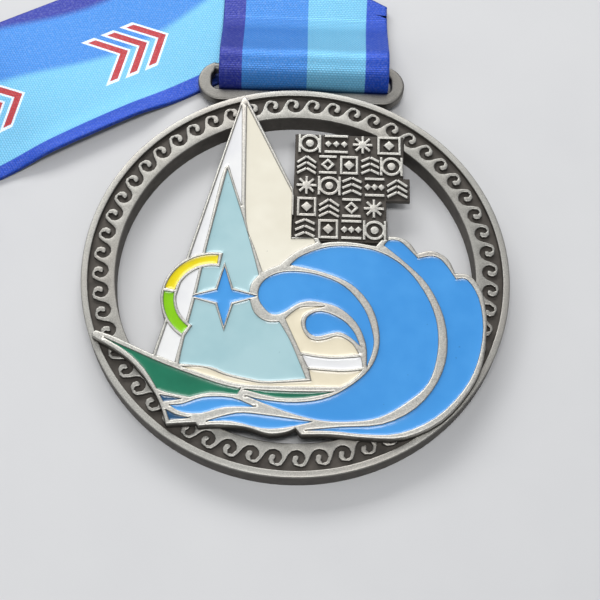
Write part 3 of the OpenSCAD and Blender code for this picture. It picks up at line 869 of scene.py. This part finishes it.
def cast_hanger(material):
    """The hanger loop keeps its CAD shape; modifiers melt its edges as on a casting."""
    obj = nodes["hanger"]
    obj.modifiers.new("weld", "WELD").merge_threshold = WELD * MM
    grain = obj.modifiers.new("even_mesh", "REMESH")
    grain.mode = "VOXEL"
    grain.voxel_size = 0.17 * MM
    grain.use_smooth_shade = True
    melt = obj.modifiers.new("melt", "SMOOTH")
    melt.factor = 0.6
    melt.iterations = 7
    obj.data.materials.clear()
    obj.data.materials.append(material)


cast(
    "ring", "ring_cast", radius=0.24, depth=0.17, step=0.32, grid_step=0.9,
    material=antique_silver("ring_silver", 4.3, 4.7, tone=0.92, rim_z=5.0),
)
cast(
    "picture_plate", "picture_plate_cast", radius=0.34, depth=0.22, step=0.34, grid_step=0.8,
    material=antique_silver("plate_silver", 5.2, 6.1, wear=0.8, tone=1.02),
)
cast(
    "ornament_panel", "ornament_panel_cast", radius=0.2, depth=0.16, step=0.24, grid_step=0.8,
    material=antique_silver("panel_silver", 5.15, 5.6),
)
cast_hanger(antique_silver("hanger_silver", 1.2, 2.2, wear=0.8, side=0.3, tone=0.68))


# ---------- enamel ----------

def pour(node, material, sink):
    """Enamel poured in its cell: it climbs the walls a little, sinks in the middle and fills the cell."""
    mesh = bmesh.new()
    step, grid_step, rise, climb = 0.34, 0.5, 0.02, 0.55
    for up, height, loops in flat_levels(node):
        verts, tris, dense = fill_level(loops, step, grid_step, [0.15, 0.4, 0.8] if up else [])
        sunk = rise - sink * (1 - np.exp(-distances(verts, dense) / climb)) if up else 0
        add_level(mesh, verts, tris, np.full(len(verts), height) + sunk, up)
        if up:
            for loop in loops:
                for a, b, far in loop:
                    add_wall(mesh, a, b, step, height + rise, far)
    fill = finish_mesh(mesh, node + "_fill")
    fill.data.materials.append(material)
    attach(fill, "medal")
    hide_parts(node)
    return fill


BLUE = enamel_material("enamel_blue", (74, 156, 226), (64, 147, 219))
PALE = enamel_material("enamel_pale_blue", (172, 205, 210), (160, 196, 202))
WHITE = enamel_material("enamel_white", (238, 238, 236), (228, 228, 229), 0.12)
SAIL_CREAM = enamel_material("enamel_sail_cream", (236, 231, 214), (228, 222, 204), 0.15)
CREAM = enamel_material("enamel_cream", (238, 228, 202), (228, 217, 190))
YELLOW = enamel_material("enamel_yellow", (240, 222, 16), (228, 206, 10))
LIME = enamel_material("enamel_lime", (140, 206, 14), (124, 190, 10))
GREEN = enamel_material("enamel_green", (28, 118, 88), (20, 102, 76))
NAVY = enamel_material("enamel_navy", (34, 84, 124), (28, 74, 112))

FILLS = {
    "white_sail": (WHITE, "enamel_white"),
    "cream_sail": (SAIL_CREAM, "enamel_cream"),
    "blue_jib": (PALE, "enamel_pale_blue"),
    "badge_yellow": (YELLOW, "enamel_yellow"),
    "badge_green": (LIME, "enamel_lime"),
    "badge_star": (BLUE, "enamel_blue"),
    "hull_green": (GREEN, "enamel_green"),
    "hull_stripe_green": (GREEN, "enamel_green"),
    "deck_cream": (CREAM, "enamel_cream"),
    "cabin_cream": (CREAM, "enamel_cream"),
    "cabin_white": (WHITE, "enamel_white"),
    "keel_navy": (NAVY, "enamel_navy"),
    "stern_navy": (NAVY, "enamel_navy"),
}
for wave in ("main_wave", "wave_crest", "upper_curl", "small_curl", "bow_wave_left", "bow_wave_middle"):
    FILLS[wave] = (BLUE, "enamel_blue")
SAIL_SINK, CELL_SINK = 0.10, 0.22
for cell, (material, slot) in FILLS.items():
    sink = SAIL_SINK if cell.endswith("sail") else CELL_SINK
    pour(cell, material, sink)


# ---------- floor and light ----------

def make_floor():
    """A plain pale floor, a hair below the object."""
    mesh = bpy.data.meshes.new("floor")
    reach, gap = 3.0, 0.05 * MM
    corners = [(-reach, -reach), (reach, -reach), (reach, reach), (-reach, reach)]
    mesh.from_pydata([(x, y, cad_low.z - gap) for x, y in corners], [], [(0, 1, 2, 3)])
    floor = add_object("floor", mesh)
    g = Graph("floor_paint")
    dust = g.noise(g.place(), 40, 3)
    g.finish(Base_Color=g.mix(dust, srgb(214, 214, 214), srgb(206, 206, 207)), Roughness=0.7)
    mesh.materials.append(g.material)


def make_light(name, place, size, power, aim=(0, 0, 0)):
    """A rectangular soft light that points at aim."""
    data = bpy.data.lights.new(name, "AREA")
    data.shape = "RECTANGLE"
    data.size, data.size_y = size
    data.energy = power
    lamp = add_object(name, data)
    lamp.location = place
    lamp.rotation_euler = (Vector(aim) - Vector(place)).to_track_quat("-Z", "Y").to_euler()


def make_world():
    """Even pale light from all around."""
    world = bpy.data.worlds.new("studio")
    world.use_nodes = True
    world.node_tree.nodes["Background"].inputs[0].default_value = (0.72, 0.75, 0.8, 1)
    world.node_tree.nodes["Background"].inputs[1].default_value = 0.36
    bpy.context.scene.world = world


make_floor()
make_world()
make_light("key", (-0.14, 0.56, 0.44), (0.70, 0.26), 3.8)
make_light("top", (0.02, -0.12, 0.62), (0.34, 0.10), 1.65)
make_light("fill", (-0.60, -0.1, 0.35), (0.3, 0.4), 0.6)
bpy.context.scene.view_settings.view_transform = "Standard"
